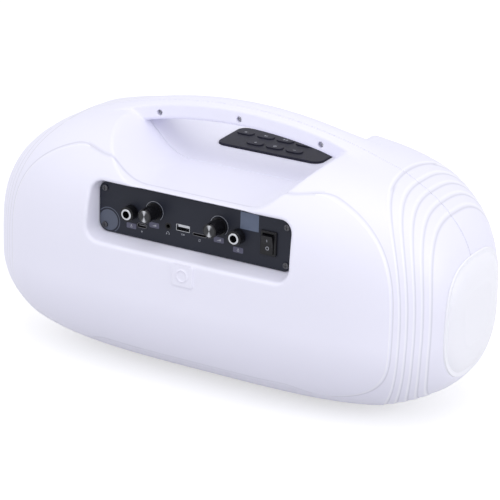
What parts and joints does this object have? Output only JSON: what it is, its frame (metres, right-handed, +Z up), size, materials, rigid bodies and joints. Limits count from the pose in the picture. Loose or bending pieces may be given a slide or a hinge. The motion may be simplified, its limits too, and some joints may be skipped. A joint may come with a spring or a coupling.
{
  "type": "portable karaoke speaker",
  "caption": "Capsule-shaped portable karaoke speaker with a bridge handle, a key pad in the hand scoop, a rear panel with knobs, jacks and switch, and a front grille.",
  "frame": {"origin": "middle of the footprint on the floor, under the rubber feet", "axes": "+X along the cabinet's length, +Y to the rear where the amplifier panel is, +Z up"},
  "size_m": [0.447, 0.1982, 0.2405],
  "materials": {
    "shell_white": "fine satin texture",
    "cover_white": "satin gloss",
    "panel_slate": "fine texture",
    "knob_black": "satin gloss",
    "socket_black": "plain",
    "pad_slate": "soft touch",
    "bright_metal": "bright plating",
    "spun_metal": "spun face",
    "port_steel": "stamped",
    "screw_steel": "zinc plated",
    "foot_rubber": "plain",
    "grille_black": "powder coat",
    "frame_silver": "metallic paint",
    "board_green": "solder mask",
    "baffle_board": "plain",
    "basket_steel": "black paint",
    "magnet_ferrite": "plain",
    "cone_paper": "pressed paper",
    "surround_rubber": "plain",
    "cell_sleeve": "shrink sleeve",
    "tray_black": "plain"
  },
  "bodies": {
    "cabinet": {"rear_shell": "shell_white", "front_shell": "shell_white", "end_cover_right": "cover_white", "end_cover_left": "cover_white", "feet": "foot_rubber", "handle_screws": "screw_steel", "base_screws": "screw_steel", "amp_panel": "panel_slate", "panel_screws": "screw_steel", "amp_board": "board_green", "usb_port": "port_steel", "aux_jack": "socket_black", "charge_port": "port_steel", "card_slot": "port_steel", "switch_housing": "socket_black", "control_pad": "pad_slate", "key_board": "board_green", "grille": "grille_black", "grille_frame": "frame_silver", "baffle": "baffle_board", "woofer_screws": "screw_steel", "tweeter_frame": "basket_steel", "tweeter_dome": "cone_paper", "battery_tray": "tray_black", "battery_cells": "cell_sleeve", "mic_jack_left": "socket_black", "mic_jack_ring_left": "bright_metal", "volume_pot_left": "port_steel", "woofer_basket_left": "basket_steel", "woofer_magnet_left": "magnet_ferrite", "woofer_cone_left": "cone_paper", "woofer_surround_left": "surround_rubber", "woofer_dust_cap_left": "cone_paper", "woofer_spider_left": "cone_paper", "mic_jack_right": "socket_black", "mic_jack_ring_right": "bright_metal", "volume_pot_right": "port_steel", "woofer_basket_right": "basket_steel", "woofer_magnet_right": "magnet_ferrite", "woofer_cone_right": "cone_paper", "woofer_surround_right": "surround_rubber", "woofer_dust_cap_right": "cone_paper", "woofer_spider_right": "cone_paper"},
    "knob_right_body": {"knob_right": "knob_black", "knob_cap_right": "spun_metal"},
    "knob_left_body": {"knob_left": "knob_black", "knob_cap_left": "spun_metal"},
    "rocker_body": {"switch_rocker": "knob_black"},
    "key_1_body": {"key_1": "pad_slate"},
    "key_2_body": {"key_2": "pad_slate"},
    "key_3_body": {"key_3": "pad_slate"},
    "key_4_body": {"key_4": "pad_slate"},
    "key_5_body": {"key_5": "pad_slate"},
    "key_6_body": {"key_6": "pad_slate"},
    "key_7_body": {"key_7": "pad_slate"},
    "key_8_body": {"key_8": "pad_slate"}
  },
  "joints": [
    {"name": "knob_right_turn", "type": "hinge", "parent": "cabinet", "child": "knob_right_body", "pos_m": [0.039, 0.084, 0.1595], "axis": [0, 1, 0], "range_deg": [-140, 140]},
    {"name": "knob_left_turn", "type": "hinge", "parent": "cabinet", "child": "knob_left_body", "pos_m": [-0.024, 0.084, 0.1595], "axis": [0, 1, 0], "range_deg": [-140, 140]},
    {"name": "power_switch_tilt", "type": "hinge", "parent": "cabinet", "child": "rocker_body", "pos_m": [-0.0715, 0.083, 0.1545], "axis": [1, 0, 0], "range_deg": [0, 16]},
    {"name": "key_1_press", "type": "slide", "parent": "cabinet", "child": "key_1_body", "axis": [0, -0.0436, -0.999], "range_m": [0, 0.0008], "stiffness_N_per_m": 400},
    {"name": "key_2_press", "type": "slide", "parent": "cabinet", "child": "key_2_body", "axis": [0, -0.0436, -0.999], "range_m": [0, 0.0008], "stiffness_N_per_m": 400},
    {"name": "key_3_press", "type": "slide", "parent": "cabinet", "child": "key_3_body", "axis": [0, -0.0436, -0.999], "range_m": [0, 0.0008], "stiffness_N_per_m": 400},
    {"name": "key_4_press", "type": "slide", "parent": "cabinet", "child": "key_4_body", "axis": [0, -0.0436, -0.999], "range_m": [0, 0.0008], "stiffness_N_per_m": 400},
    {"name": "key_5_press", "type": "slide", "parent": "cabinet", "child": "key_5_body", "axis": [0, -0.0436, -0.999], "range_m": [0, 0.0008], "stiffness_N_per_m": 400},
    {"name": "key_6_press", "type": "slide", "parent": "cabinet", "child": "key_6_body", "axis": [0, -0.0436, -0.999], "range_m": [0, 0.0008], "stiffness_N_per_m": 400},
    {"name": "key_7_press", "type": "slide", "parent": "cabinet", "child": "key_7_body", "axis": [0, -0.0436, -0.999], "range_m": [0, 0.0008], "stiffness_N_per_m": 400},
    {"name": "key_8_press", "type": "slide", "parent": "cabinet", "child": "key_8_body", "axis": [0, -0.0436, -0.999], "range_m": [0, 0.0008], "stiffness_N_per_m": 400}
  ]
}
